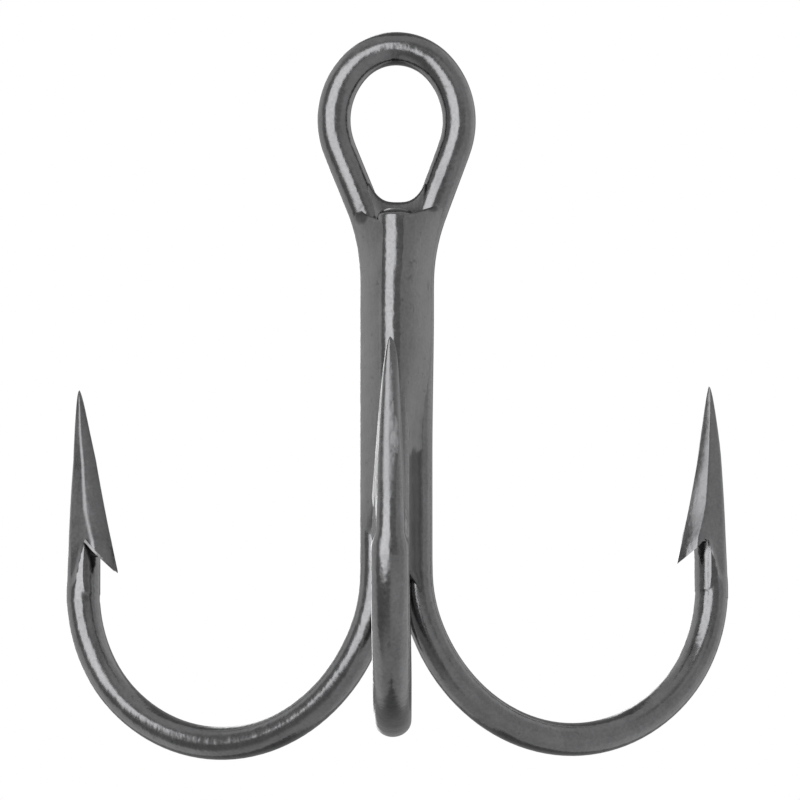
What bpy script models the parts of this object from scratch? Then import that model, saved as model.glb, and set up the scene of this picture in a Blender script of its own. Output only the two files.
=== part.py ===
"""Treble fishing hook: two bent wires brazed together along a common shank.

One long wire makes the eye and two of the hooks. A second wire lies in the
groove between its legs and makes the third hook. Four beads of brazing alloy
hold the two wires together. Metres, +Z up. The origin is the centre of the
eye, which lies in the XZ plane, and the third hook points towards -Y.
"""
import math

import bmesh
import bpy
from mathutils import Vector

MM = 0.001

# Wire
WIRE_RADIUS = 0.975 * MM
WIRE_SIDES = 12
ARC_STEP_DEG = 9.0

# Eye, measured on the wire's centre line: each leg has its own side arc and lean
EYE_TOP = 4.19 * MM
EYE_TOP_RADIUS = 3.29 * MM
EYE_TOP_ANGLE = 48.0
LEFT_LEG = (4.65 * MM, 22.2)
RIGHT_LEG = (4.72 * MM, 20.4)
LEG_BEND_RADIUS = 12.0 * MM

# Shank: the hook's own axis runs down behind the third wire
SHANK_OFFSET = 1.305 * MM
AXIS_Y = -0.6525 * MM
THIRD_OFFSET = 1.11 * MM
THIRD_SIDE_SHIFT = -0.17 * MM
THIRD_TOP_Z = -5.45 * MM
THIRD_YAW = -0.65
BEND_TOP_Z = -26.37 * MM

# Bend: three arcs that together turn the wire from down to up
BEND_ARCS = ((8.22 * MM, 23.5), (10.42 * MM, 108.6), (8.84 * MM, 47.9))
HOOK_AZIMUTH = 30.0
LEFT_AZIMUTH = 149.4
LEFT_DROP = -0.13 * MM
RIGHT_LIFT = 0.08 * MM
FRONT_LIFT = 0.20 * MM

# Point: ground flat on both sides, with two facets that meet in a ridge facing the shank
TIP_Z = -14.82 * MM
TIP_RISE = 0.11 * MM
LEFT_TIP_LEAN = -0.25 * MM
RIGHT_TIP_LEAN = -0.11 * MM
LEAN_RUN = 4.3 * MM
SPEAR_LENGTH = 10.8 * MM
SPEAR_HALF_WIDTH = 1.048 * MM
SPEAR_BACK = 0.965 * MM
SIDE_TAPER = 8.0
WIRE_END_DEPTH = 10.50 * MM
RIDGE_START = 0.0985 * MM
RIDGE_SLOPE = 0.1636
RIDGE_CURVE = 4.61
SHOULDER_START = 0.07 * MM
SHOULDER_SLOPE = 0.075
SHOULDER_CURVE = 3.2
SHOULDER_FLARE = 0.15 * MM
TIP_RADIUS = 0.03 * MM
FADE_TOP = 9.2 * MM
STEM_DEPTH = 11.8 * MM
STEM_RADIUS = 0.93 * MM
STEM_BACK = 0.99 * MM

# Notch under the barb, in the hook's own plane: towards the shank, below the tip
NOTCH_ROOT = (0.76 * MM, 8.98 * MM)
NOTCH_START = 0.15 * MM
NOTCH_CLEARANCE = 0.012 * MM
SCOOP_START = 0.60 * MM
SCOOP_LENGTH = 1.45 * MM
BARB_UNDERSIDE_ANGLE = 47.5

# Brazing alloy
BRAZE_GAP = 0.02 * MM
BRAZE_TOP_Z = -5.55 * MM
BRAZE_BOTTOM_Z = -19.60 * MM
BRAZE_SINK = 0.03 * MM
THROAT_TOP_Z = -4.86 * MM
THROAT_BOTTOM_Z = -7.90 * MM
REAR_SEAM_DEPTH = 0.70 * MM


def material(name, colour, roughness):
    """A plated metal surface."""
    mat = bpy.data.materials.new(name)
    mat.use_nodes = True
    shader = mat.node_tree.nodes["Principled BSDF"]
    shader.inputs["Base Color"].default_value = (*colour, 1.0)
    shader.inputs["Metallic"].default_value = 1.0
    shader.inputs["Roughness"].default_value = roughness
    return mat


def draw(start, heading, moves):
    """Centre line in a plane: (outward, up) points from lines and arcs.

    Heading 0 is down, 90 is outward and 180 is up. A positive arc turns
    the wire outward and up, and a negative one turns it back.
    """
    u, z = start
    points = [(u, z)]
    for move in moves:
        if len(move) == 1:
            u += move[0] * math.sin(math.radians(heading))
            z -= move[0] * math.cos(math.radians(heading))
            points.append((u, z))
            continue
        radius, turn = move
        side = math.copysign(1.0, turn)
        first = math.radians(heading)
        centre = (u + side * radius * math.cos(first), z + side * radius * math.sin(first))
        count = max(2, round(abs(turn) / ARC_STEP_DEG))
        for k in range(1, count + 1):
            angle = math.radians(heading + turn * k / count)
            u = centre[0] - side * radius * math.cos(angle)
            z = centre[1] - side * radius * math.sin(angle)
            points.append((u, z))
        heading += turn
    return points


def arc_shift(radius, start, turn):
    """Outward distance covered by an arc that starts at a heading."""
    side = math.copysign(1.0, turn)
    first = math.radians(start)
    last = math.radians(start + turn)
    return side * radius * (math.cos(first) - math.cos(last))


def smooth(value, low, high):
    """Smooth step from 0 to 1 between two values."""
    share = min(1.0, max(0.0, (value - low) / (high - low)))
    return share * share * (3.0 - 2.0 * share)


def eye_half(leg):
    """Centre line from the top of the eye down one leg to the shank."""
    side_radius, lean = leg
    leg_end = SHANK_OFFSET * math.cos(math.radians(HOOK_AZIMUTH))
    side_turn = -(90.0 - EYE_TOP_ANGLE + lean)
    out = arc_shift(EYE_TOP_RADIUS, 90.0, -EYE_TOP_ANGLE)
    out += arc_shift(side_radius, 90.0 - EYE_TOP_ANGLE, side_turn)
    back = -arc_shift(LEG_BEND_RADIUS, -lean, lean)
    leg_length = (out - back - leg_end) / math.sin(math.radians(lean))
    moves = (
        (EYE_TOP_RADIUS, -EYE_TOP_ANGLE),
        (side_radius, side_turn),
        (leg_length,),
        (LEG_BEND_RADIUS, lean),
    )
    return draw((0.0, EYE_TOP), 90.0, moves)


def hook_half(offset, top_z, shift):
    """Centre line from the shank round the bend and up into the spear."""
    straight = top_z - BEND_TOP_Z - shift
    moves = [(straight,)]
    moves += list(BEND_ARCS)
    points = draw((offset, top_z), 0.0, moves)
    u, z = points[-1]
    points.append((u, TIP_Z + shift - WIRE_END_DEPTH))
    return points


class Hook:
    """One hook's plane: where its shank stands and which way it points."""

    def __init__(self, azimuth, stand, offset, shift, lean=0.0, rise=0.0):
        angle = math.radians(azimuth)
        self.out = Vector((math.cos(angle), math.sin(angle), 0.0))
        self.side = Vector((-math.sin(angle), math.cos(angle), 0.0))
        self.foot = Vector((stand[0], stand[1], 0.0)) - self.out * offset
        self.offset = offset
        self.shift = shift
        self.lean = lean
        self.tip_z = TIP_Z + shift + rise

    def place(self, u, z, s=0.0):
        """World point at a distance out from the axis, a height and a side offset."""
        return self.foot + self.out * u + self.side * s + Vector((0.0, 0.0, z))

    def centre_line(self, top_z):
        """World points of the shank, bend and spear stem."""
        points = hook_half(self.offset, top_z, self.shift)
        return [self.place(u, z) for u, z in points]

    def spear_point(self, toward, below, s):
        """World point from the spear's own measures: towards the shank, below the tip, sideways."""
        u = hook_half(self.offset, BEND_TOP_Z + MM, self.shift)[-1][0]
        left = max(0.0, 1.0 - max(0.0, below) / LEAN_RUN) ** 1.2
        point = self.place(u - toward, self.tip_z - below, s)
        return point + Vector((self.lean * left, 0.0, 0.0))


def tube(name, points, radius, collection):
    """A closed round wire along the points, as a mesh object."""
    curve = bpy.data.curves.new(name, "CURVE")
    curve.dimensions = "3D"
    curve.bevel_depth = radius
    curve.bevel_resolution = WIRE_SIDES // 2 - 2
    curve.use_fill_caps = True
    spline = curve.splines.new("POLY")
    spline.points.add(len(points) - 1)
    for spot, point in zip(spline.points, points):
        spot.co = (*point, 1.0)
    wire = bpy.data.objects.new(name + "_curve", curve)
    collection.objects.link(wire)
    bpy.context.view_layer.update()
    depsgraph = bpy.context.evaluated_depsgraph_get()
    mesh = bpy.data.meshes.new_from_object(wire.evaluated_get(depsgraph))
    mesh.name = name
    cleaner = bmesh.new()
    cleaner.from_mesh(mesh)
    bmesh.ops.remove_doubles(cleaner, verts=cleaner.verts, dist=0.001 * MM)
    bmesh.ops.recalc_face_normals(cleaner, faces=cleaner.faces)
    cleaner.to_mesh(mesh)
    cleaner.free()
    solid = bpy.data.objects.new(name, mesh)
    solid.matrix_world = wire.matrix_world
    collection.objects.link(solid)
    bpy.data.objects.remove(wire, do_unlink=True)
    return solid


def loft(name, rings, collection):
    """A closed solid through rings of equal length, with flat ends."""
    form = bmesh.new()
    rows = [[form.verts.new(point) for point in ring] for ring in rings]
    count = len(rows[0])
    for lower, upper in zip(rows, rows[1:]):
        for k in range(count):
            after = (k + 1) % count
            form.faces.new((lower[k], lower[after], upper[after], upper[k]))
    form.faces.new(reversed(rows[0]))
    form.faces.new(rows[-1])
    bmesh.ops.recalc_face_normals(form, faces=form.faces)
    mesh = bpy.data.meshes.new(name)
    form.to_mesh(mesh)
    form.free()
    solid = bpy.data.objects.new(name, mesh)
    collection.objects.link(solid)
    return solid


def spear_section(below):
    """Section of the spear at a depth below its tip: (towards shank, side) points.

    The back keeps the wire's round, the two sides are flat and open a little
    towards the shank, and a facet runs from each shoulder in to the ridge.
    """
    share = min(1.0, below / SPEAR_LENGTH)
    half_side = max(TIP_RADIUS, SPEAR_HALF_WIDTH * share ** 0.55)
    fullness = 0.80 + 0.20 * smooth(share, 0.0, 0.35)
    back = max(TIP_RADIUS, SPEAR_BACK * fullness * math.sqrt(share))
    sharp = min(1.0, below / (0.6 * MM))
    ridge = (RIDGE_START + RIDGE_SLOPE * below + RIDGE_CURVE * below * below) * sharp + 0.02 * MM
    shoulder = SHOULDER_START + SHOULDER_SLOPE * below + SHOULDER_CURVE * below * below
    flare = max(0.0, min(below, 9.0 * MM) - 7.0 * MM) / MM
    shoulder = (shoulder + SHOULDER_FLARE * flare ** 1.3) * sharp
    shoulder = min(shoulder, ridge - 0.10 * half_side)
    start = -0.5 * back
    flat_side = half_side - (shoulder - start) * math.tan(math.radians(SIDE_TAPER))
    swell = flat_side / math.sqrt(0.75)
    half = [(ridge, 0.0)]
    half.append(((ridge + shoulder) / 2.0, half_side / 2.0))
    half.append((shoulder, half_side))
    for k in (1, 2):
        part = k / 3.0
        half.append((shoulder + (start - shoulder) * part, half_side + (flat_side - half_side) * part))
    for degrees in (60.0, 40.0, 20.0):
        turn = math.radians(degrees)
        half.append((-back * math.cos(turn), swell * math.sin(turn)))
    half.append((-back, 0.0))
    return half + [(v, -s) for v, s in half[-2:0:-1]]


def stem_section(below):
    """Section of the spear's foot: its back and sides fade from the ground shape to round wire."""
    fade = smooth(below, FADE_TOP, STEM_DEPTH)
    ring = []
    for v, s in spear_section(min(below, SPEAR_LENGTH)):
        angle = math.atan2(s, v)
        rear = smooth(math.degrees(abs(angle)), 62.0, 112.0)
        share = rear * fade
        wire_v = STEM_BACK * math.cos(angle)
        wire_s = STEM_BACK * math.sin(angle)
        ring.append((v * (1.0 - share) + wire_v * share, s * (1.0 - share) + wire_s * share))
    return ring


def spear(name, hook, collection):
    """The ground point of one hook, before its barb is notched."""
    depths = [0.0, 0.15, 0.45, 0.9, 1.5, 2.3, 3.2, 4.2, 5.4, 6.6, 7.8, 8.8, 9.6, 10.3, 10.8]
    rings = []
    for depth in depths:
        below = depth * MM
        rings.append([hook.spear_point(v, below, s) for v, s in stem_section(below)])
    end = []
    for v, s in spear_section(SPEAR_LENGTH):
        angle = math.atan2(s, v)
        end.append(hook.spear_point(STEM_RADIUS * math.cos(angle), STEM_DEPTH, STEM_RADIUS * math.sin(angle)))
    rings.append(end)
    return loft(name, rings, collection)


def prism(name, hook, outline, collection):
    """A straight-sided guide across the hook's plane, from points in the spear's own measures."""
    rings = []
    for s in (-2.2 * MM, 2.2 * MM):
        rings.append([hook.spear_point(v, below, s) for v, below in outline])
    return as_guide(loft(name, rings, collection))


def notch(name, hook, collection):
    """Cutter that frees the barb and leaves round wire below it, hollowed by the barbing blade."""
    slope = math.tan(math.radians(BARB_UNDERSIDE_ANGLE))
    root_v, root_below = NOTCH_ROOT
    beyond = 3.4 * MM
    floor = STEM_DEPTH + 0.25 * MM
    outline = [
        (NOTCH_START, floor),
        (NOTCH_START, root_below + (root_v - NOTCH_START) * 1.3),
        NOTCH_ROOT,
        (beyond, root_below + (beyond - root_v) * slope),
        (beyond, floor),
    ]
    cutter = prism(name, hook, outline, collection)
    full = (WIRE_RADIUS + NOTCH_CLEARANCE) / math.cos(math.pi / WIRE_SIDES)
    rings = []
    for part in (-0.6, 0.0, 0.15, 0.35, 0.6, 0.8, 1.0, 2.4):
        hollow = (1.0 - min(1.0, max(0.0, part))) ** 1.7
        limit = full - (full - SCOOP_START) * hollow
        below = root_below + SCOOP_LENGTH * part
        ring = []
        for k in range(WIRE_SIDES):
            angle = math.radians(360.0 * (k + 0.5) / WIRE_SIDES)
            ring.append(hook.spear_point(min(limit, full * math.cos(angle)), below, full * math.sin(angle)))
        rings.append(ring)
    stem = as_guide(loft(name + "_stem", rings, collection))
    cut(cutter, stem, "DIFFERENCE", "stem")
    return cutter


def cut(target, cutter, operation, name):
    """Add a Boolean modifier to an object."""
    step = target.modifiers.new(name, "BOOLEAN")
    step.operation = operation
    step.solver = "EXACT"
    step.object = cutter
    return step


def as_guide(solid):
    """Mark an object as a construction guide and not a part."""
    solid.hide_render = True
    solid.display_type = "WIRE"
    return solid


def finish(solid, mat, rounded=False):
    """The part's own material, and smooth shading on round wire."""
    solid.data.materials.clear()
    solid.data.materials.append(mat)
    if rounded:
        solid.data.shade_smooth()
        solid.data.set_sharp_from_angle(angle=math.radians(35.0))


def leg_x(z, leg=LEFT_LEG):
    """Distance of a leg's centre line from the middle plane at a height."""
    points = eye_half(leg)
    if z <= points[-1][1]:
        return points[-1][0]
    for (u0, z0), (u1, z1) in zip(points, points[1:]):
        if z1 <= z <= z0:
            share = (z0 - z) / max(z0 - z1, 1e-9)
            return u0 + (u1 - u0) * share
    return points[0][0]


def front_bead_ring(side, z, third):
    """Section of the bead between a leg (side -1 left, +1 right) and the third wire."""
    leg = Vector((side * leg_x(z, RIGHT_LEG if side > 0.0 else LEFT_LEG), 0.0, z))
    wire = Vector((third.x, third.y, z))
    along = (wire - leg).normalized()
    outward = Vector((side * -along.y, side * along.x, 0.0))
    if outward.y > 0.0:
        outward = -outward
    face = WIRE_RADIUS - BRAZE_SINK
    inner = 0.22 * MM
    reach = 0.30 * MM
    return [
        leg + outward * inner + along * reach,
        leg + outward * face,
        wire + outward * face,
        wire + outward * inner - along * reach,
    ]


def build():
    """Make every part of the treble hook."""
    for item in list(bpy.data.objects):
        bpy.data.objects.remove(item, do_unlink=True)
    parts = bpy.data.collections.new("treble_hook")
    guides = bpy.data.collections.new("construction_guides")
    bpy.context.scene.collection.children.link(parts)
    bpy.context.scene.collection.children.link(guides)

    plated_wire = material("double_hook_wire_plating", (0.16, 0.16, 0.165), 0.24)
    plated_single = material("single_hook_wire_plating", (0.16, 0.16, 0.165), 0.24)
    leg = SHANK_OFFSET * math.cos(math.radians(HOOK_AZIMUTH))
    third_stand = (THIRD_SIDE_SHIFT, AXIS_Y - THIRD_OFFSET)
    left = Hook(LEFT_AZIMUTH, (-leg, 0.0), SHANK_OFFSET, LEFT_DROP, LEFT_TIP_LEAN, TIP_RISE)
    right = Hook(HOOK_AZIMUTH, (leg, 0.0), SHANK_OFFSET, RIGHT_LIFT, RIGHT_TIP_LEAN, TIP_RISE)
    front = Hook(-90.0 + THIRD_YAW, third_stand, THIRD_OFFSET, FRONT_LIFT, rise=-FRONT_LIFT)

    # Wire with the eye and two hooks
    left_eye = [Vector((-u, 0.0, z)) for u, z in eye_half(LEFT_LEG)]
    right_eye = [Vector((u, 0.0, z)) for u, z in eye_half(RIGHT_LEG)]
    left_line = left.centre_line(left_eye[-1].z)[1:]
    right_line = right.centre_line(right_eye[-1].z)[1:]
    double_points = left_line[::-1] + left_eye[::-1] + right_eye[1:] + right_line
    double = tube("double_hook_wire", double_points, WIRE_RADIUS, parts)
    for label, hook in (("left", left), ("right", right)):
        point = as_guide(spear("spear_" + label, hook, guides))
        cut(double, point, "UNION", "spear_" + label)
        cut(double, notch("notch_" + label, hook, guides), "DIFFERENCE", "notch_" + label)
    finish(double, plated_wire, rounded=True)

    # Wire with the third hook
    single_points = front.centre_line(THIRD_TOP_Z)
    single = tube("single_hook_wire", single_points, WIRE_RADIUS, parts)
    point = as_guide(spear("spear_front", front, guides))
    cut(single, point, "UNION", "spear_front")
    cut(single, notch("notch_front", front, guides), "DIFFERENCE", "notch_front")
    finish(single, plated_single, rounded=True)

    # Grown copies of the wires, which the brazing alloy is cut back from
    grown = WIRE_RADIUS + BRAZE_GAP
    double_room = as_guide(tube("double_wire_room", double_points, grown, guides))
    single_room = as_guide(tube("single_wire_room", single_points, grown, guides))
    third = front.place(THIRD_OFFSET, 0.0)

    # Beads in the two front grooves
    heights = [BRAZE_TOP_Z, -6.3 * MM, -7.1 * MM, -8.0 * MM, -9.0 * MM, -10.2 * MM, BRAZE_BOTTOM_Z]
    for side, label in ((-1.0, "left"), (1.0, "right")):
        rings = [front_bead_ring(side, z, third) for z in heights]
        bead = loft("braze_bead_" + label, rings, parts)
        cut(bead, double_room, "DIFFERENCE", "leg")
        cut(bead, single_room, "DIFFERENCE", "third_wire")
        finish(bead, material("braze_bead_" + label + "_plating", (0.15, 0.15, 0.152), 0.42))

    # Seam at the back and in the core between the three wires
    core_y = third.y + WIRE_RADIUS - 0.05 * MM
    outline = [
        (-leg, REAR_SEAM_DEPTH),
        (-leg, -0.05 * MM),
        (third.x - 0.10 * MM, core_y),
        (third.x + 0.30 * MM, core_y),
        (leg, -0.05 * MM),
        (leg, REAR_SEAM_DEPTH),
    ]
    seam_top = THROAT_BOTTOM_Z - BRAZE_GAP
    rings = [[Vector((x, y, z)) for x, y in outline] for z in (seam_top, BRAZE_BOTTOM_Z)]
    seam = loft("braze_seam_rear", rings, parts)
    cut(seam, double_room, "DIFFERENCE", "legs")
    cut(seam, single_room, "DIFFERENCE", "third_wire")
    finish(seam, material("braze_seam_rear_plating", (0.15, 0.15, 0.152), 0.42))

    # Web that closes the throat of the eye
    rings = []
    for z in (THROAT_TOP_Z, -5.4 * MM, -6.2 * MM, -7.0 * MM, THROAT_BOTTOM_Z):
        half_left = leg_x(z, LEFT_LEG)
        half_right = leg_x(z, RIGHT_LEG)
        front_y = -0.22 * MM
        back_y = 0.62 * MM
        corners = ((-half_left, back_y), (-half_left, front_y), (half_right, front_y), (half_right, back_y))
        rings.append([Vector((x, y, z)) for x, y in corners])
    web = loft("braze_throat_web", rings, parts)
    cut(web, double_room, "DIFFERENCE", "legs")
    cut(web, single_room, "DIFFERENCE", "third_wire")
    finish(web, material("braze_throat_web_plating", (0.15, 0.15, 0.152), 0.42))


build()
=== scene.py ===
import math

import bmesh
import bpy
import numpy as np
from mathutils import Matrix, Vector


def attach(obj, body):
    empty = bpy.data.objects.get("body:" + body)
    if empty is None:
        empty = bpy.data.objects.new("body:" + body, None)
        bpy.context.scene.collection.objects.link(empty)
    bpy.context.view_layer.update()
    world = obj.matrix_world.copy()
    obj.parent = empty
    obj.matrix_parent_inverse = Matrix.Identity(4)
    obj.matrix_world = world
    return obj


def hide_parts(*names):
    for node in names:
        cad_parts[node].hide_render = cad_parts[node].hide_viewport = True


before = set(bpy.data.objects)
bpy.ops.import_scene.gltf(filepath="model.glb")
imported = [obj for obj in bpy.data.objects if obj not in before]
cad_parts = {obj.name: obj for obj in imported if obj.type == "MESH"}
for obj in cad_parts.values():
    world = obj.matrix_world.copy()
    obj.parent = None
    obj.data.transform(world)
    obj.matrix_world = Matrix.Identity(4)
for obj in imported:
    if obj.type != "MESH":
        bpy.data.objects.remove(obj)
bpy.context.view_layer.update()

MM = 0.001

# ---------------------------------------------------------------- dimensions
# Metres, with the eye's centre at the origin. Most values are the CAD part's own. The legs' bow,
# the third wire's sway, the oval of the bends and how each point was ground are finer than there.
WIRE = 0.975 * MM
EYE_TOP = 4.19 * MM
EYE_ARCS = ((3.29 * MM, -48.0), (4.65 * MM, -64.2))
EYE_ARCS_RIGHT = ((3.29 * MM, -48.0), (4.72 * MM, -62.4))
LEG_BEND = 12.0 * MM
LEG_BOW = 0.09 * MM
SHANK_OFFSET = 1.305 * MM
AXIS_Y = -0.6525 * MM
THIRD_OFFSET = 1.11 * MM
THIRD_X = -0.17 * MM
THIRD_SWAY = -0.17 * MM
BEND_TOP_Z = -26.37 * MM
BEND_ARCS = ((8.22 * MM, 23.5), (10.42 * MM, 108.6), (8.84 * MM, 47.9))
TIP_Z = -14.82 * MM
SPEAR = 10.8 * MM
BEND_FLAT = 0.99
BEND_WIDE = 1.075
LEAN_RUN = 4.3 * MM

# Points round half a spear's section: outer back, side flat, shoulder, ground facet
BACK = 10
FLAT = 10
SHOULDER = 4
FACET = 8

# Hooks: direction about the shank, and how far each bend sits above its nominal height
LEFT_AZIMUTH = 149.4
RIGHT_AZIMUTH = 30.0
FRONT_AZIMUTH = -90.0
LEFT_SHIFT = -0.13 * MM
RIGHT_SHIFT = 0.08 * MM
FRONT_SHIFT = 0.20 * MM
REAR_TIP_RISE = 0.11 * MM

# Barbing tool: its depth below the tip, and its guide's size relative to the wire
TOOL_FLOOR = 12.25 * MM
TOOL_CLEARANCE = 1.03
TOOL_INNER = 0.12 * MM
TOOL_OUTER = 3.4 * MM

# Brazing alloy
BEAD_LEFT_ENDS = (-5.35, -6.45, -21.0, -24.5)
BEAD_RIGHT_ENDS = (-5.00, -6.00, -26.2, -27.6)
SEAM_TOP = -7.30 * MM
SEAM_FOOT = -19.45 * MM
WEB_TOP = -4.86 * MM
WEB_FOOT = -7.9 * MM
WEB_HALF_WIDTH = 2.0 * MM
WEB_RISE = 0.267e6

FLOOR_Z = -0.14
FLOOR_HALF = 6

LEG_X = SHANK_OFFSET * math.cos(math.radians(30.0))


def smooth(value, low, high):
    """Smooth step from 0 to 1 between two values."""
    share = min(1.0, max(0.0, (value - low) / (high - low)))
    return share * share * (3.0 - 2.0 * share)


# ---------------------------------------------------------------- centre lines
def course(start, heading, moves, soften=2.2 * MM, step=0.05 * MM):
    """Centre line in a plane, with the curvature eased between straight runs and arcs.

    Returns rows of (outward, up, heading in radians). Heading 0 is down and 180 is up.
    """
    bends = []
    for move in moves:
        if len(move) == 1:
            bends += [0.0] * int(round(move[0] / step))
        else:
            radius, turn = move
            length = radius * math.radians(abs(turn))
            count = int(round(length / step))
            bends += [math.radians(turn) / (count * step)] * count
    bends = np.array(bends)
    half = int(round(soften / step / 2))
    padded = np.concatenate([np.full(half, bends[0]), bends, np.full(half, bends[-1])])
    window = np.hanning(2 * half + 3)[1:-1]
    eased = np.convolve(padded, window / window.sum(), mode="valid")
    angle = math.radians(heading) + np.concatenate([[0.0], np.cumsum(eased) * step])
    middle = (angle[1:] + angle[:-1]) / 2.0
    u = start[0] + np.concatenate([[0.0], np.cumsum(np.sin(middle)) * step])
    z = start[1] - np.concatenate([[0.0], np.cumsum(np.cos(middle)) * step])
    return np.stack([u, z, angle], axis=1)


def thin(rows, turn=3.0, run=0.9 * MM):
    """Keeps a row wherever the wire has turned or run on enough since the last one."""
    kept = [rows[0]]
    for row in rows[1:-1]:
        last = kept[-1]
        gone = math.hypot(row[0] - last[0], row[1] - last[1])
        if abs(row[2] - last[2]) >= math.radians(turn) or gone >= run:
            kept.append(row)
    kept.append(rows[-1])
    return np.array(kept)


def arc_shift(radius, start, turn):
    """Outward distance that an arc covers from a heading."""
    side = math.copysign(1.0, turn)
    return side * radius * (math.cos(math.radians(start)) - math.cos(math.radians(start + turn)))


def eye_rows(arcs, bow=0.0):
    """Rows from the top of the eye down one leg to the parallel shank."""
    (top_r, top_turn), (side_r, side_turn) = arcs
    lean = -(90.0 + top_turn + side_turn)
    out = arc_shift(top_r, 90.0, top_turn) + arc_shift(side_r, 90.0 + top_turn, side_turn)
    back = -arc_shift(LEG_BEND, -lean, lean)
    leg = (out - back - LEG_X - bow) / math.sin(math.radians(lean))
    moves = ((top_r, top_turn), (side_r, side_turn), (leg,), (LEG_BEND, lean), (0.6 * MM,))
    rows = course((0.0, EYE_TOP), 90.0, moves, soften=1.6 * MM)
    share = np.linspace(0.0, 1.0, len(rows))
    ease = share * share * (3.0 - 2.0 * share)
    rows[:, 0] += (LEG_X + bow - rows[-1, 0]) * ease
    return thin(rows, run=0.5 * MM)


def hook_rows(offset, top_z, shift):
    """Rows from the top of the shank round the bend and up to the spear's foot."""
    moves = ((top_z - BEND_TOP_Z - shift,),) + BEND_ARCS + ((6.0 * MM,),)
    rows = course((offset, top_z), 0.0, moves, soften=3.0 * MM)
    foot = TIP_Z + shift - SPEAR - 1.6 * MM
    past = np.nonzero((rows[:, 2] > 3.1) & (rows[:, 1] > foot))[0]
    rows = rows[: past[0] + 1]
    rows[-1, 1] = foot
    return thin(rows)


class Hook:
    """One hook: its plane, and how its own point was ground."""

    def __init__(self, azimuth, stand, offset, shift, mirror=1.0, sway=0.0, **ground):
        angle = math.radians(azimuth)
        self.out = np.array([math.cos(angle), math.sin(angle), 0.0])
        self.side = mirror * np.array([-math.sin(angle), math.cos(angle), 0.0])
        self.foot = np.array([stand[0], stand[1], 0.0]) - self.out * offset
        self.offset = offset
        self.shift = shift
        self.sway = sway
        self.lean = ground.get("lean", 0.0)
        self.roll = math.radians(ground.get("roll", 0.0))
        self.set_in = ground.get("set_in", 0.0)
        self.tip_z = TIP_Z + shift + ground.get("rise", 0.0)
        self.belly = ground.get("belly", 0.0)
        self.flat = ground.get("flat", 0.0)
        self.tip_in = ground.get("tip_in", 0.0)
        self.tilt = ground.get("tilt", 0.0)
        self.wide = ground.get("wide", BEND_WIDE)
        self.round = ground.get("round", 0.2 * MM)
        self.barb = math.tan(math.radians(ground.get("barb", 44.0)))
        self.root = ground.get("root", (0.72 * MM, 8.90 * MM))
        self.bow = ground.get("bow", 0.0)
        self.reach = hook_rows(offset, BEND_TOP_Z + 3.0 * MM, shift)[-1][0]

    def place(self, u, z, s=0.0):
        """World point from a distance out, a height and a side offset."""
        bow = self.sway * (max(u, 0.0) / self.reach) ** 3
        if u < 3.0 * MM:
            bow += self.bow * (1.0 - smooth(-z, 11.0 * MM, 19.5 * MM))
        return self.foot + self.out * u + self.side * s + np.array([bow, 0.0, z])

    def spear_point(self, toward, below, s):
        """World point in the spear's own measures: towards the shank, below the tip, sideways."""
        turn = self.roll * (1.0 - smooth(below, 9.5 * MM, 12.2 * MM))
        v = toward * math.cos(turn) - s * math.sin(turn)
        s = toward * math.sin(turn) + s * math.cos(turn)
        point = self.place(self.reach - v, self.tip_z - below, s)
        left = max(0.0, 1.0 - max(0.0, below) / LEAN_RUN) ** 1.2
        return point + np.array([self.lean * left, 0.0, 0.0])


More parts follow.
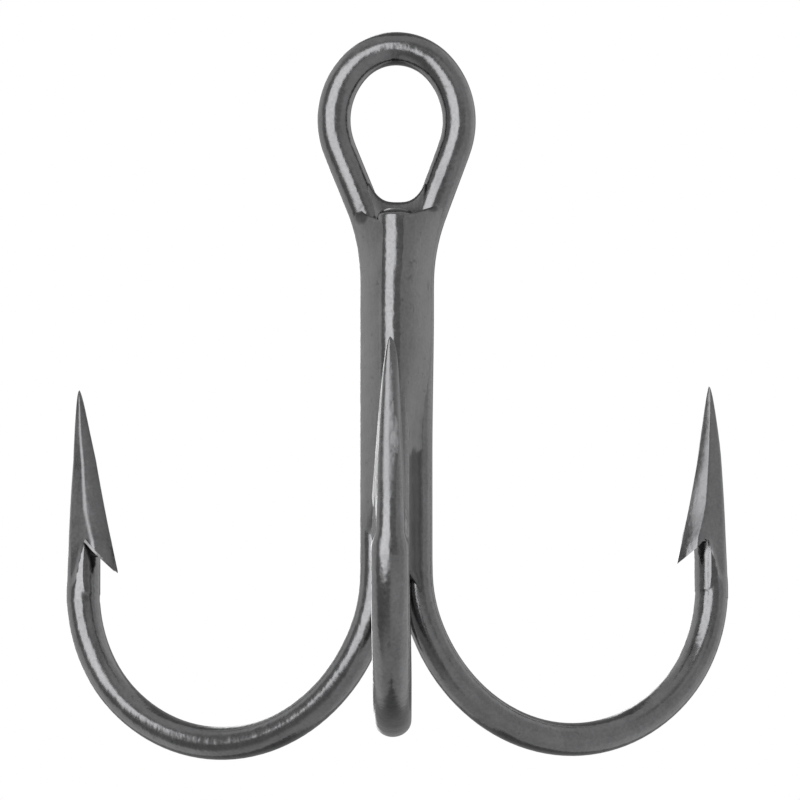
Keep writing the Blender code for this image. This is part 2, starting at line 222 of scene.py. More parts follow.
# ---------------------------------------------------------------- sections
def spear_half(hook, below, side):
    """One side of the ground point's section, from its outer back to the ridge.

    The outer back keeps the wire's round. The side is flat and opens a little
    towards the shank, and a facet runs in from the shoulder to the ridge.
    """
    share = min(1.0, below / SPEAR)
    tip = 1.0 - math.exp(-max(0.0, below) / (0.30 * MM))
    depth = below / MM
    wide = max(0.012 * MM, WIRE * hook.wide * share ** 0.55)
    back = max(0.012 * MM, WIRE * BEND_FLAT * (share ** 0.5) * (0.80 + 0.20 * smooth(share, 0.0, 0.35)))
    level = 0.0
    if side > 0.0:
        wide += hook.belly * tip * math.exp(-(depth / 3.2) ** 2)
        level = hook.flat * (0.35 + 0.65 * math.exp(-((depth - 5.7) / 1.4) ** 2))
        level *= smooth(depth, 0.6, 2.6) * (1.0 - smooth(depth, 7.5, 10.4))
    ridge = (0.0985 + 0.1636 * depth + 0.00461 * depth * depth) * MM * tip + 0.014 * MM
    inset = (0.07 + 0.075 * depth + 0.0032 * depth * depth) * MM * tip
    inset += 0.15 * MM * max(0.0, min(depth, 9.0) - 7.0) ** 1.3
    inset += hook.tip_in * tip * math.exp(-depth / 2.4)
    inset = min(inset + hook.set_in * tip * smooth(share, 0.0, 0.3), ridge - 0.10 * wide)
    slope = math.tan(math.radians(8.0))
    start = -0.5 * back
    flat_s = wide - (inset - start) * slope
    bulge = (flat_s - level) / math.sqrt(0.75)
    half = []
    for k in range(BACK):
        turn = (k / BACK) * math.radians(60.0)
        along = level * min(1.0, k / 2.0)
        lift = 0.16 * along * (1.0 - k / BACK)
        half.append((-back * math.cos(turn) - lift, bulge * math.sin(turn) + along))
    corner = np.array([inset, wide])
    peak = np.array([ridge, 0.0])
    first = np.array([start, flat_s])
    into = corner - first
    away = peak - corner
    reach = min(hook.round * share ** 0.4, 0.45 * np.linalg.norm(into), 0.45 * np.linalg.norm(away))
    enter = corner - into / np.linalg.norm(into) * reach
    leave = corner + away / np.linalg.norm(away) * reach
    for k in range(FLAT):
        half.append(tuple(first + (enter - first) * k / FLAT))
    for k in range(SHOULDER):
        t = k / SHOULDER
        half.append(tuple(enter * (1 - t) ** 2 + corner * 2 * t * (1 - t) + leave * t * t))
    across = np.array([-away[1], away[0]])
    across = across / np.linalg.norm(across)
    length = np.linalg.norm(peak - leave)
    for k in range(FACET):
        t = k / FACET
        half.append(tuple(leave + (peak - leave) * t + across * 0.045 * length * 4.0 * t * (1.0 - t)))
    half.append(tuple(peak))
    return [(v, side * s) for v, s in half]


def spear_section(hook, below):
    """Section of the ground point at a depth below its tip, as (towards shank, sideways)."""
    upper = spear_half(hook, below, 1.0)[::-1]
    lower = spear_half(hook, below, -1.0)[1:-1]
    return np.array(upper + lower)


class Plain:
    """Grinding values of an average point, for spacing the points round the wire."""

    set_in = 0.0
    round = 0.3 * MM
    belly = 0.0
    flat = 0.0
    tip_in = 0.0
    wide = BEND_WIDE


reference = spear_section(Plain, 9.0 * MM)
ANGLES = np.unwrap(np.arctan2(reference[:, 1] * 1.15, reference[:, 0] * 0.9 + 0.02 * MM))
TURNS = [abs(math.degrees(math.remainder(angle, 2.0 * math.pi))) for angle in ANGLES]


def ground_share(turn, below):
    """How far the ground shape lasts at the spear's foot, for a point at a turn from the ridge."""
    depth = min(9.2 + 0.065 * max(0.0, turn - 58.0), 11.5) * MM
    return 1.0 - smooth(below, depth - 0.7 * MM, depth + 0.7 * MM)


def on_stem(turn):
    """1 for points that belong to the stem below the barb, 0 for points on the barb."""
    return smooth(turn, 46.0, 60.0)


def wire_section(flat=1.0, wide=1.0):
    """Round or slightly oval section: (towards the inside of the bend, sideways)."""
    return np.stack([WIRE * flat * np.cos(ANGLES), WIRE * wide * np.sin(ANGLES)], axis=1)


def spear_rings(hook):
    """Rings from the spear's foot up to its tip."""
    rings = []
    oval = wire_section(BEND_FLAT, hook.wide)
    depths = np.concatenate([
        np.linspace(SPEAR + 1.5 * MM, 2.0 * MM, 84),
        2.0 * MM * (1.0 - np.linspace(0.0, 1.0, 26)[1:]) ** 1.6,
    ])
    for below in depths:
        gone = smooth(below, 10.95 * MM, SPEAR + 1.4 * MM)
        ring = []
        for point, round_point, turn in zip(spear_section(hook, min(below, SPEAR)), oval, TURNS):
            share = (1.0 - on_stem(turn) * (1.0 - ground_share(turn, below))) * (1.0 - gone)
            v, s = point * share + round_point * (1.0 - share)
            ring.append(hook.spear_point(v, below, s))
        rings.append(ring)
    return rings


def bend_rings(hook, rows):
    """Rings along the shank and bend, round at the shank and slightly oval in the bend."""
    rings = []
    for u, z, heading in rows:
        inward = np.array([math.cos(heading), math.sin(heading)])
        share = smooth(heading, 0.0, math.radians(50.0))
        section = wire_section(1.0 + (BEND_FLAT - 1.0) * share, 1.0 + (hook.wide - 1.0) * share)
        rings.append([hook.place(u + v * inward[0], z + v * inward[1], s) for v, s in section])
    return rings


def eye_rings(rows, side):
    """Rings of one half of the eye, from its top down: side is -1 left, 1 right."""
    rings = []
    section = wire_section()
    lean = math.radians(30.0)
    for u, z, heading in rows:
        normal = np.array([side * math.cos(heading), 0.0, math.sin(heading)])
        across = np.array([0.0, 1.0, 0.0])
        first = normal * math.cos(lean) + across * math.sin(lean)
        second = normal * math.sin(lean) - across * math.cos(lean)
        centre = np.array([side * u, 0.0, z])
        rings.append([centre + first * v + second * s for v, s in section])
    return rings


# ---------------------------------------------------------------- mesh building
def loft(name, rings):
    """A closed mesh object through rings of equal length."""
    form = bmesh.new()
    rows = [[form.verts.new(tuple(point)) for point in ring] for ring in rings]
    count = len(rows[0])
    for lower, upper in zip(rows, rows[1:]):
        for k in range(count):
            after = (k + 1) % count
            form.faces.new((lower[k], lower[after], upper[after], upper[k]))
    form.faces.new(rows[0][::-1])
    form.faces.new(rows[-1])
    bmesh.ops.recalc_face_normals(form, faces=form.faces)
    mesh = bpy.data.meshes.new(name)
    form.to_mesh(mesh)
    form.free()
    piece = bpy.data.objects.new(name, mesh)
    bpy.context.scene.collection.objects.link(piece)
    return piece


def carve(piece, tools, operation="DIFFERENCE"):
    """Cuts with the tools, removes them and keeps the result as plain mesh."""
    for number, tool in enumerate(tools):
        step = piece.modifiers.new("cut_%d" % number, "BOOLEAN")
        step.operation = operation
        step.solver = "MANIFOLD"
        step.object = tool
    depsgraph = bpy.context.evaluated_depsgraph_get()
    mesh = bpy.data.meshes.new_from_object(piece.evaluated_get(depsgraph))
    piece.modifiers.clear()
    old = piece.data
    piece.data = mesh
    mesh.name = piece.name
    bpy.data.meshes.remove(old)
    for tool in tools:
        shape = tool.data
        bpy.data.objects.remove(tool, do_unlink=True)
        bpy.data.meshes.remove(shape)


def prism(name, hook, outline):
    """A straight-sided tool across the hook's plane, from points (towards shank, below tip)."""
    rings = []
    for s in (-2.2 * MM, 2.2 * MM):
        rings.append([hook.spear_point(v, below - hook.tilt * s, s) for v, below in outline])
    return loft(name, rings)


def underside(hook, v):
    """Depth of the barb's slightly hollow underside at a distance towards the shank."""
    root_v, root_below = hook.root
    run = v - root_v
    if run < 0.0:
        return root_below - run * 1.3
    hollow = 0.07 * MM * math.sin(min(1.0, run / (1.7 * MM)) * math.pi)
    return root_below + run * hook.barb - hollow


def barb_tools(name, hook):
    """Tools that take the ground section off below the barb, and scoop the wire there."""
    root_v, root_below = hook.root
    line = [(v, underside(hook, v)) for v in np.linspace(TOOL_INNER, root_v, 6)[:-1]]
    line += [(v, underside(hook, v)) for v in np.linspace(root_v, TOOL_OUTER, 18)]
    outline = [(TOOL_INNER, TOOL_FLOOR)] + line + [(TOOL_OUTER, TOOL_FLOOR)]
    clear = prism(name + "_clear", hook, outline)
    oval = wire_section(BEND_FLAT, hook.wide)
    rings = []
    for below in np.linspace(8.0 * MM, 12.6 * MM, 24):
        own = spear_section(hook, min(below, SPEAR))
        ring = []
        for point, round_point, turn in zip(own, oval, TURNS):
            share = on_stem(turn) * ground_share(turn, below)
            v, s = point * TOOL_CLEARANCE * share + round_point * TOOL_CLEARANCE * (1.0 - share)
            ring.append(hook.spear_point(v, below, s))
        rings.append(ring)
    carve(clear, [loft(name + "_stem", rings)])
    scoop = [(root_v - 0.10 * MM, root_below + 0.20 * MM), (root_v, root_below + 0.02 * MM)]
    scoop += [(v, underside(hook, v) + 0.02 * MM) for v in np.linspace(root_v, 1.5 * MM, 7)[1:]]
    for k in range(10):
        share = 1.0 - k / 10.0
        v = root_v - 0.10 * MM + (1.12 * MM - root_v) * share ** 0.7
        scoop.append((v, root_below + 0.20 * MM + 1.35 * MM * share))
    return [clear, prism(name + "_scoop", hook, scoop)]


def burr(name, hook):
    """The fine bright lip that the barbing blade turns up along the barb's lower edge."""
    spots = []
    for v in np.linspace(hook.root[0] + 0.06 * MM, 2.31 * MM, 22):
        below = underside(hook, v)
        half = np.array(spear_half(hook, below, 1.0)[BACK + FLAT:])
        edge = float(np.interp(v, half[:, 0], half[:, 1])) + 0.02 * MM
        spots.append(hook.spear_point(v, below - hook.tilt * edge, edge))
    facing_out = np.array([-0.24, -0.966, 0.087])
    rings = []
    for k, spot in enumerate(spots):
        along = spots[min(k + 1, len(spots) - 1)] - spots[max(k - 1, 0)]
        along = along / np.linalg.norm(along)
        normal = facing_out - along * np.dot(facing_out, along)
        normal = normal / np.linalg.norm(normal)
        across = np.cross(along, normal) * (0.075 - 0.045 * (k / (len(spots) - 1)) ** 2) * MM
        front_face = normal * 0.035 * MM
        back_face = normal * -0.20 * MM
        rings.append([spot + across + front_face, spot - across + front_face,
                      spot - across + back_face, spot + across + back_face])
    return loft(name, rings)


def polish(piece, angle=32.0):
    """Smooth shading that keeps the ground edges crisp."""
    piece.data.shade_smooth()
    piece.data.set_sharp_from_angle(angle=math.radians(angle))


# ---------------------------------------------------------------- wires
left = Hook(
    LEFT_AZIMUTH, (-LEG_X, 0.0), SHANK_OFFSET, LEFT_SHIFT,
    lean=-0.25 * MM, rise=REAR_TIP_RISE, barb=48.0, tilt=0.03,
    root=(0.64 * MM, 8.95 * MM), round=0.26 * MM, set_in=-0.12 * MM,
)
right = Hook(
    RIGHT_AZIMUTH, (LEG_X, 0.0), SHANK_OFFSET, RIGHT_SHIFT, mirror=-1.0,
    lean=-0.11 * MM, rise=REAR_TIP_RISE, barb=47.0, tilt=0.03,
    root=(0.88 * MM, 9.03 * MM), round=0.16 * MM, set_in=0.10 * MM,
    bow=LEG_BOW, tip_in=-0.09 * MM,
)
front = Hook(
    FRONT_AZIMUTH, (THIRD_X, AXIS_Y - THIRD_OFFSET), THIRD_OFFSET, FRONT_SHIFT, sway=THIRD_SWAY,
    rise=-FRONT_SHIFT, roll=-5.0, round=0.25 * MM, belly=0.14 * MM, flat=0.40 * MM, wide=1.09,
    root=(1.25 * MM, 8.90 * MM),
)

eye_left = eye_rows(EYE_ARCS)
eye_right = eye_rows(EYE_ARCS_RIGHT, LEG_BOW)


def hook_rings(hook, top_z):
    """All rings of one hook from the shank's top to the spear's tip."""
    rows = hook_rows(hook.offset, top_z, hook.shift)
    return bend_rings(hook, rows) + spear_rings(hook)


left_eye = eye_rings(eye_left, -1.0)
right_eye = eye_rings(eye_right, 1.0)
left_hook = hook_rings(left, eye_left[-1][1] - 0.5 * MM)
right_hook = hook_rings(right, eye_right[-1][1] - 0.5 * MM)
double = loft("eye_and_rear_hooks", left_hook[::-1] + left_eye[::-1] + right_eye[1:] + right_hook)
carve(double, barb_tools("left", left) + barb_tools("right", right))
carve(double, [burr("left_burr", left)], "UNION")
polish(double)

# The third wire's top end is pressed a little flat and rounded over
THIRD_Y = AXIS_Y - THIRD_OFFSET
DOME_TOP = -5.28 * MM
DOME_FOOT = -5.85 * MM
crown = []
for z in list(np.linspace(DOME_TOP, DOME_FOOT, 12)) + list(np.linspace(DOME_FOOT, -10.6 * MM, 16))[1:]:
    rise = max(0.0, (z - DOME_FOOT) / (DOME_TOP - DOME_FOOT))
    size = math.sqrt(1.0 - 0.97 * rise * rise)
    press = 1.0 - smooth(-z, 7.4 * MM, 10.2 * MM)
    ring = []
    for v, s in wire_section():
        x = THIRD_X + 0.15 * MM * press + s * (1.0 + 0.10 * press) * size
        y = THIRD_Y - v * (1.0 - 0.06 * press) * size + 0.62 * MM * (1.0 - size)
        ring.append(np.array([x, y, z]))
    crown.append(ring)
single = loft("front_hook", crown + hook_rings(front, -10.9 * MM))
carve(single, barb_tools("front", front))
polish(single)


# ---------------------------------------------------------------- brazing alloy
def leg_at(z, side):
    """Distance of a leg's centre line from the middle plane at a height."""
    rows = eye_left if side < 0.0 else eye_right
    lower = rows[rows[:, 2] < 0.9]
    x = float(np.interp(-z, -lower[:, 1], lower[:, 0]))
    if side > 0.0 and z < rows[-1][1]:
        x = LEG_X + LEG_BOW * (1.0 - smooth(-z, 11.0 * MM, 19.5 * MM))
    return x


def facing(angle):
    """Horizontal direction at an angle from the front, positive to the right."""
    return np.array([math.sin(math.radians(angle)), -math.cos(math.radians(angle))])


def wobble(z, seed):
    """Slow, repeatable unevenness along the shank, between -1 and 1."""
    t = z / MM
    return (math.sin(1.7 * t + seed) + math.sin(3.1 * t + 2.3 * seed) + math.sin(5.9 * t + 0.7 * seed)) / 3.0


def bead_ring(side, z, grip, points=22):
    """Section of a front bead: a convex face from a leg's silhouette to the third wire.

    Where grip is 0 the face only follows the leg, and where it is 1 it spans the groove.
    """
    leg = np.array([side * leg_at(z, side), 0.0])
    press = 1.0 - smooth(-z, 7.4 * MM, 10.2 * MM)
    wire = np.array([THIRD_X + 0.15 * MM * press, THIRD_Y])
    span = 74.0 if side < 0.0 else 66.0 - 40.0 * smooth(-z, 12.5 * MM, 19.0 * MM)
    near = 47.0 if side < 0.0 else 26.0
    ragged = 0.10 * MM * wobble(6.0 * z, 2.0)
    if side > 0.0:
        run_out = smooth(-z + ragged, 19.45 * MM, 19.75 * MM)
        span += (23.0 - span) * run_out
        near += (58.0 - near) * run_out
    start_angle = side * (span + 3.0 * wobble(z, 1.0 + side))
    wire_angle = side * (near + 3.0 * wobble(z, 4.0 + side))
    start = leg + facing(start_angle) * (WIRE - 0.012 * MM)
    rest = min(12.0, span)
    on_leg = leg + facing(side * rest) * (WIRE - 0.012 * MM)
    on_wire = wire + facing(wire_angle) * (WIRE * (1.0 + 0.06 * press) - 0.012 * MM)
    end = on_leg * (1.0 - grip) + on_wire * grip
    end_angle = side * rest * (1.0 - grip) + wire_angle * grip
    chord = np.linalg.norm(end - start)
    first = facing(start_angle - side * 90.0) * chord
    last = facing(end_angle - side * 90.0) * chord
    ring = []
    for k in range(points + 1):
        t = k / points
        spot = start * (2 * t ** 3 - 3 * t ** 2 + 1) + first * (t ** 3 - 2 * t ** 2 + t)
        spot = spot + end * (3 * t ** 2 - 2 * t ** 3) + last * (t ** 3 - t ** 2)
        ring.append(spot)
    inner_wire = wire + facing(wire_angle) * 0.45 * MM
    inner_leg = leg + facing(side * 30.0) * 0.55 * MM
    ring.append(inner_wire * grip + inner_leg * (1.0 - grip))
    ring.append(leg + facing(start_angle) * 0.45 * MM)
    return [np.array([spot[0], spot[1], z]) for spot in ring]


beads = []
for side, label, ends in ((-1.0, "left", BEAD_LEFT_ENDS), (1.0, "right", BEAD_RIGHT_ENDS)):
    top, full, fade, foot = (value * MM for value in ends)
    rings = []
    for z in np.linspace(top, foot, 240):
        grip = smooth(-z, -top, -full) * (1.0 - smooth(-z, -fade, -foot))
        rings.append(bead_ring(side, z, grip))
    bead = loft("braze_" + label, rings)
    polish(bead, 50.0)
    beads.append(bead)

rings = []
for z in np.linspace(SEAM_TOP, SEAM_FOOT, 76):
    ring = []
    wide_left, wide_right = leg_at(z, -1.0), leg_at(z, 1.0)
    # The alloy rises from under the web, and sinks away between the legs at its lower end
    sink = 0.12 * (1.0 - smooth(-z, 7.3 * MM, 9.3 * MM)) + 0.76 * smooth(-z, 17.0 * MM, 19.45 * MM)
    for k in range(19):
        share = k / 18.0
        x = wide_right - (wide_right + wide_left) * share
        level = (0.66 - sink) * MM + 0.24 * MM * (2.0 * share - 1.0) ** 2 + 0.02 * MM * wobble(z, 7.0)
        ring.append(np.array([x, level, z]))
    ring.append(np.array([-wide_left, 0.0, z]))
    ring.append(np.array([THIRD_X, THIRD_Y + 0.5 * MM, z]))
    ring.append(np.array([wide_right, 0.0, z]))
    rings.append(ring)
seam = loft("braze_rear", rings)
polish(seam, 50.0)


def web_ring(x):
    """Section of the web under the eye at a sideways distance, as (y, z) points."""
    rise = WEB_RISE * abs(x - 0.06 * MM) ** 3
    top = WEB_TOP + min(rise, 1.1 * MM)
    round_r = 0.28 * MM
    swell = 0.62 * MM * (1.0 - smooth(abs(x), 0.2 * MM, 1.5 * MM))
    narrow = smooth(abs(x), 1.62 * MM, 1.98 * MM)
    back_y = (0.60 - 0.30 * narrow) * MM
    front_y = (-0.78 + 0.48 * narrow) * MM
    ring = []
    for k in range(9):
        turn = math.radians(90.0 * k / 8.0)
        ring.append((back_y - round_r + round_r * math.cos(turn), top - round_r + round_r * math.sin(turn)))
    for k in range(9):
        turn = math.radians(90.0 + 90.0 * k / 8.0)
        ring.append((front_y + round_r + round_r * math.cos(turn), top - round_r + round_r * math.sin(turn)))
    for k in range(1, 9):
        share = k / 8.0
        z = top - round_r + (-6.3 * MM - top + round_r) * share
        ring.append((front_y - swell * smooth(share, 0.0, 1.0), z))
    ring.append((front_y - swell, WEB_FOOT))
    ring.append((back_y, WEB_FOOT))
    return [np.array([x, y, z]) for y, z in ring]


web = loft("braze_throat", [web_ring(x) for x in np.linspace(-WEB_HALF_WIDTH, WEB_HALF_WIDTH, 69)])
polish(web, 50.0)


# ---------------------------------------------------------------- materials
def metal(name, colour, gloss_range, speckle, bump, ground=0.0, painted_shade_below=None, painted_shade_spots=()):
    """Plated metal with fine mottling in its colour, gloss and surface.

    Ground surfaces, out at the points, are duller by the given roughness. Below the
    given height the colour is darkened as painted shade, for the groove that the
    front hook shades. Each painted shade spot darkens the front's colour over an
    ellipse, as (x, z, half width, half height): painted shade where a leg's highlight ends.
    """
    mat = bpy.data.materials.new(name)
    mat.use_nodes = True
    tree = mat.node_tree
    nodes, links = tree.nodes, tree.links
    shader = nodes["Principled BSDF"]
    shader.inputs["Metallic"].default_value = 1.0
    place = nodes.new("ShaderNodeTexCoord")

    def spots(scale, detail, stretch=1.0):
        """Noise in the object's own space, stretched along the wire's length."""
        fit = nodes.new("ShaderNodeMapping")
        fit.inputs["Scale"].default_value = (1.0, 1.0, 1.0 / stretch)
        links.new(place.outputs["Object"], fit.inputs["Vector"])
        noise = nodes.new("ShaderNodeTexNoise")
        noise.inputs["Scale"].default_value = scale
        noise.inputs["Detail"].default_value = detail
        noise.inputs["Roughness"].default_value = 0.65
        links.new(fit.outputs["Vector"], noise.inputs["Vector"])
        return noise.outputs["Fac"]

    def spread(value, low, high, out_low, out_high):
        """Linear range of a value, clamped at both ends."""
        node = nodes.new("ShaderNodeMapRange")
        node.inputs["From Min"].default_value = low
        node.inputs["From Max"].default_value = high
        node.inputs["To Min"].default_value = out_low
        node.inputs["To Max"].default_value = out_high
        links.new(value, node.inputs["Value"])
        return node.outputs["Result"]

    def combine(kind, a, b):
        """Two values through a Math node."""
        node = nodes.new("ShaderNodeMath")
        node.operation = kind
        for socket, value in zip(node.inputs, (a, b)):
            if isinstance(value, float):
                socket.default_value = value
            else:
                links.new(value, socket)
        return node.outputs[0]

    grain = spots(5200.0, 4.0)
    cloud = spots(700.0, 3.0, 1.8)
    both = combine("ADD", combine("MULTIPLY", grain, 0.55), combine("MULTIPLY", cloud, 0.45))
    shade_scale = spread(both, 0.3, 0.7, 1.0 - speckle, 1.0 + speckle)
    pits = spread(spots(1500.0, 2.0), 0.25, 0.35, 0.74, 1.0)
    shade_scale = combine("MULTIPLY", shade_scale, pits)
    rough = spread(both, 0.3, 0.7, gloss_range[0], gloss_range[1])
    split = nodes.new("ShaderNodeSeparateXYZ")
    links.new(place.outputs["Object"], split.inputs[0])
    if ground > 0.0:
        plan = nodes.new("ShaderNodeVectorMath")
        plan.operation = "MULTIPLY"
        links.new(place.outputs["Object"], plan.inputs[0])
        plan.inputs[1].default_value = (1.0, 1.0, 0.0)
        away = nodes.new("ShaderNodeVectorMath")
        away.operation = "LENGTH"
        links.new(plan.outputs["Vector"], away.inputs[0])
        outer = spread(away.outputs["Value"], 7.0 * MM, 8.0 * MM, 0.0, 1.0)
        high_up = spread(split.outputs["Z"], -24.6 * MM, -23.6 * MM, 0.0, 1.0)
        dull = combine("MULTIPLY", combine("MULTIPLY", outer, high_up), ground)
        rough = combine("ADD", rough, combine("MULTIPLY", dull, spread(cloud, 0.3, 0.7, 0.6, 1.4)))
    # Painted shade: below a height the colour darkens, for the groove that the front hook shades
    if painted_shade_below is not None:
        level = combine("ADD", split.outputs["Z"], spread(cloud, 0.3, 0.7, -0.5 * MM, 0.5 * MM))
        painted_shade_low = spread(level, painted_shade_below - 0.30 * MM, painted_shade_below, 0.46, 1.0)
        shade_scale = combine("MULTIPLY", shade_scale, painted_shade_low)
    # Painted shade: dark spots on the alloy's front where a leg's highlight ends
    for x, z, half_x, half_z in painted_shade_spots:
        across = combine("DIVIDE", combine("SUBTRACT", split.outputs["X"], x), half_x)
        along = combine("DIVIDE", combine("SUBTRACT", split.outputs["Z"], z), half_z)
        away = combine("ADD", combine("MULTIPLY", across, across), combine("MULTIPLY", along, along))
        away = combine("ADD", away, combine("MULTIPLY", cloud, 0.8))
        front_side = spread(split.outputs["Y"], -0.3 * MM, 0.1 * MM, 0.0, 1.0)
        patch = combine("MAXIMUM", spread(away, 0.75, 1.5, 0.52, 1.0), front_side)
        shade_scale = combine("MULTIPLY", shade_scale, patch)
    shade = nodes.new("ShaderNodeVectorMath")
    shade.operation = "SCALE"
    shade.inputs[0].default_value = colour
    links.new(shade_scale, shade.inputs["Scale"])
    links.new(shade.outputs["Vector"], shader.inputs["Base Color"])
    links.new(rough, shader.inputs["Roughness"])
    waves = nodes.new("ShaderNodeBump")
    waves.inputs["Strength"].default_value = 1.0
    waves.inputs["Distance"].default_value = 0.00005
    links.new(cloud, waves.inputs["Height"])
    relief = nodes.new("ShaderNodeBump")
    relief.inputs["Strength"].default_value = bump
    relief.inputs["Distance"].default_value = 0.00002
    links.new(both, relief.inputs["Height"])
    links.new(waves.outputs["Normal"], relief.inputs["Normal"])
    links.new(relief.outputs["Normal"], shader.inputs["Normal"])
    return mat


wire_metal = metal("black_nickel_wire", (0.163, 0.163, 0.167), (0.13, 0.26), 0.24, 0.45, ground=0.16)
single_metal = metal("black_nickel_front_wire", (0.163, 0.163, 0.167), (0.13, 0.26), 0.24, 0.45, ground=0.10)
# Left bead: a painted shade spot below the left leg's highlight
bead_metal = metal("black_nickel_braze", (0.176, 0.176, 0.178), (0.30, 0.44), 0.20, 0.6,
                   painted_shade_spots=((-2.02 * MM, -5.75 * MM, 0.42 * MM, 0.50 * MM),))
# Right bead: painted shade low in its groove, and a painted shade spot under the right leg's highlight
run_out_metal = metal("black_nickel_braze_right", (0.176, 0.176, 0.178), (0.30, 0.44), 0.20, 0.6,
                      painted_shade_below=-19.5 * MM, painted_shade_spots=((2.10 * MM, -5.30 * MM, 0.34 * MM, 0.26 * MM),))
braze_metal = metal("black_nickel_web", (0.088, 0.088, 0.090), (0.42, 0.56), 0.22, 0.6)

for piece, node, mat in (
    (double, "double_hook_wire", wire_metal),
    (single, "single_hook_wire", single_metal),
    (beads[0], "braze_bead_left", bead_metal),
    (beads[1], "braze_bead_right", run_out_metal),
    (seam, "braze_seam_rear", braze_metal),
    (web, "braze_throat_web", braze_metal),
):
    piece.data.materials.clear()
    piece.data.materials.append(mat)
    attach(piece, "root")
    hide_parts(node)

# ---------------------------------------------------------------- floor
floor_mesh = bpy.data.meshes.new("floor")
corners = [(x * FLOOR_HALF, y * FLOOR_HALF, FLOOR_Z) for x, y in ((-1, -1), (1, -1), (1, 1), (-1, 1))]
floor_mesh.from_pydata(corners, [], [(0, 1, 2, 3)])
floor = bpy.data.objects.new("floor", floor_mesh)
bpy.context.scene.collection.objects.link(floor)
paper = bpy.data.materials.new("pale_floor")
paper.use_nodes = True
paper.node_tree.nodes["Principled BSDF"].inputs["Base Color"].default_value = (0.86, 0.86, 0.86, 1.0)
paper.node_tree.nodes["Principled BSDF"].inputs["Roughness"].default_value = 0.9
floor.data.materials.append(paper)
floor.visible_glossy = False

# ---------------------------------------------------------------- studio light
world = bpy.data.worlds.new("studio")
bpy.context.scene.world = world
world.use_nodes = True
tree = world.node_tree
nodes, links = tree.nodes, tree.links
nodes.clear()


def math_node(kind, a, b=None, c=None):
    """A Math node with linked or constant inputs; returns its output."""
    node = nodes.new("ShaderNodeMath")
    node.operation = kind
    for socket, value in zip(node.inputs, (a, b, c)):
        if value is None:
            continue
        if isinstance(value, (int, float)):
            socket.default_value = value
        else:
            links.new(value, socket)
    return node.outputs[0]


def ramp(value, low, high, out_low=0.0, out_high=1.0):
    """Smooth step between two values."""
    node = nodes.new("ShaderNodeMapRange")
    node.interpolation_type = "SMOOTHSTEP"
    node.inputs["From Min"].default_value = low
    node.inputs["From Max"].default_value = high
    node.inputs["To Min"].default_value = out_low
    node.inputs["To Max"].default_value = out_high
    links.new(value, node.inputs["Value"])
    return node.outputs["Result"]


def band(value, low, high, soft):
    """1 between low and high, with soft edges."""
    rise = ramp(value, low - soft, low + soft)
    fall = ramp(value, high - soft, high + soft, 1.0, 0.0)
    return math_node("MULTIPLY", rise, fall)


where = nodes.new("ShaderNodeTexCoord")
split = nodes.new("ShaderNodeSeparateXYZ")
links.new(where.outputs["Generated"], split.inputs[0])
dx, dy, dz = split.outputs
azimuth = math_node("DEGREES", math_node("ARCTAN2", dx, math_node("MULTIPLY", dy, -1.0)))
flat = math_node("ABSOLUTE", azimuth)
elevation = math_node("DEGREES", math_node("ARCSINE", dz))

# Room: white walls beside and behind, a dim strip and a grey one in front on the right
above = ramp(elevation, -8.0, -2.0)
wall = ramp(flat, 82.0, 96.0)
right_front = ramp(azimuth, 44.0, 52.0, 0.42, 0.74)
side_share = ramp(azimuth, -2.0, 2.0)
front_level = math_node("ADD", math_node("MULTIPLY", right_front, side_share),
                        math_node("MULTIPLY", 0.42, math_node("SUBTRACT", 1.0, side_share)))
below_level = ramp(azimuth, -5.0, 7.0, 0.36, 0.80)
front_level = math_node("ADD", math_node("MULTIPLY", front_level, above),
                        math_node("MULTIPLY", below_level, math_node("SUBTRACT", 1.0, above)))
panel = math_node("MULTIPLY", band(azimuth, 16.0, 46.0, 4.0), band(elevation, 14.0, 34.0, 3.0))
front_level = math_node("MULTIPLY_ADD", panel, 0.36, front_level)
base = math_node("ADD", math_node("MULTIPLY", wall, 1.02),
                 math_node("MULTIPLY", front_level, math_node("SUBTRACT", 1.0, wall)))
# Ceiling and floor glow
roof = ramp(elevation, 38.0, 60.0)
base = math_node("ADD", base, math_node("MULTIPLY", roof, math_node("SUBTRACT", 0.78, base)))
ground = ramp(elevation, -38.0, -66.0)
base = math_node("ADD", base, math_node("MULTIPLY", ground, math_node("SUBTRACT", 0.72, base)))
# Key softbox, front left and a little above
off_centre = math_node("ABSOLUTE", math_node("ADD", azimuth, 28.0))
key_foot = math_node("MULTIPLY_ADD", off_centre, -0.35, elevation)
sides = math_node("MULTIPLY", ramp(azimuth, -62.0, -52.0), ramp(azimuth, -2.0, 3.0, 1.0, 0.0))
key = math_node("MULTIPLY", sides, ramp(key_foot, -22.0, -14.0))
key = math_node("MULTIPLY", key, ramp(elevation, 32.0, 40.0, 1.0, 0.0))
base = math_node("MULTIPLY_ADD", key, 2.75, base)
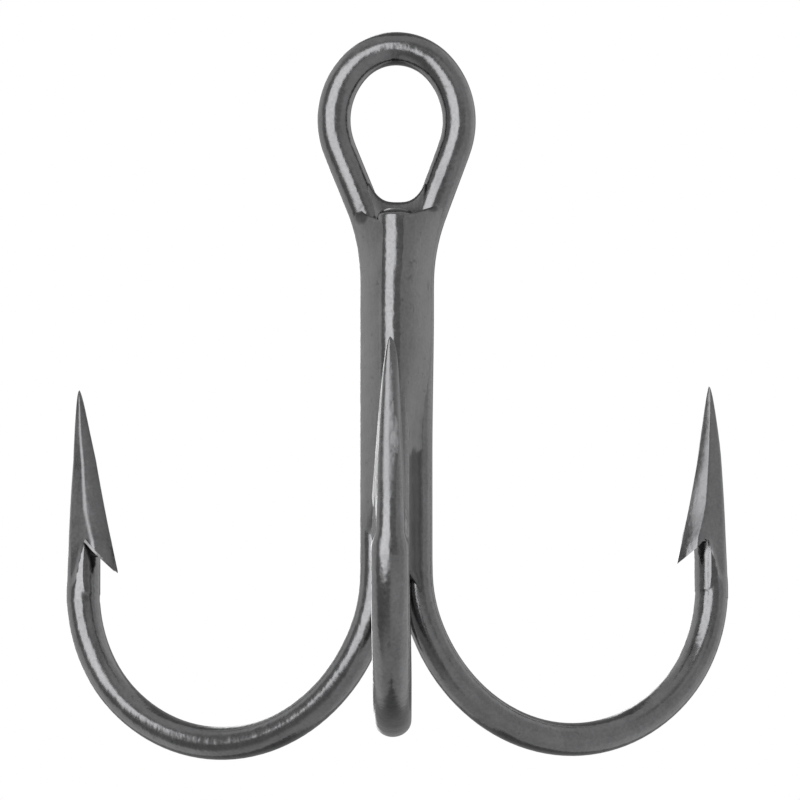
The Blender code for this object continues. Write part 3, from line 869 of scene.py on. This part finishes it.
# Soft box and dark strips behind, for the far side
back_dark = ramp(flat, 138.0, 150.0)
base = math_node("MULTIPLY", base, math_node("MULTIPLY_ADD", back_dark, -0.66, 1.0))
back_key = math_node("MULTIPLY", band(azimuth, -176.0, -154.0, 3.0), band(elevation, -3.0, 36.0, 5.0))
base = math_node("MULTIPLY_ADD", back_key, 2.0, base)

room = nodes.new("ShaderNodeBackground")
room.inputs["Color"].default_value = (1.0, 1.0, 1.0, 1.0)
links.new(base, room.inputs["Strength"])
pale = nodes.new("ShaderNodeBackground")
pale.inputs["Color"].default_value = (1.0, 1.0, 1.0, 1.0)
pale.inputs["Strength"].default_value = 1.0
ray = nodes.new("ShaderNodeLightPath")
choose = nodes.new("ShaderNodeMixShader")
links.new(ray.outputs["Is Camera Ray"], choose.inputs["Fac"])
links.new(room.outputs["Background"], choose.inputs[1])
links.new(pale.outputs["Background"], choose.inputs[2])
out = nodes.new("ShaderNodeOutputWorld")
links.new(choose.outputs["Shader"], out.inputs["Surface"])

top = bpy.data.lights.new("overhead_softbox", "AREA")
top.shape = "DISK"
top.size = 0.5
top.energy = 5.0
top_light = bpy.data.objects.new("overhead_softbox", top)
top_light.location = (-0.25, -0.2, 0.75)
top_light.rotation_euler = Vector((0.25, 0.2, -0.85)).to_track_quat("-Z", "Y").to_euler()
top_light.visible_glossy = False
top_light.visible_camera = False
bpy.context.scene.collection.objects.link(top_light)

bpy.context.scene.view_settings.view_transform = "Standard"

# ---------------------------------------------------------------- camera
DISTANCE = 580.0 * MM
LOOK_UP = 5.29
target = Vector((0.22 * MM, AXIS_Y, -16.42 * MM))
lens = bpy.data.cameras.new("camera")
lens.sensor_width = 36.0
lens.lens = 450.0
lens.clip_start = 0.01
lens.clip_end = 50.0
camera = bpy.data.objects.new("camera", lens)
tilt = math.radians(LOOK_UP)
camera.location = target + DISTANCE * Vector((0.0, -math.cos(tilt), -math.sin(tilt)))
camera.rotation_euler = (target - camera.location).to_track_quat("-Z", "Y").to_euler()
bpy.context.scene.collection.objects.link(camera)
bpy.context.scene.camera = camera
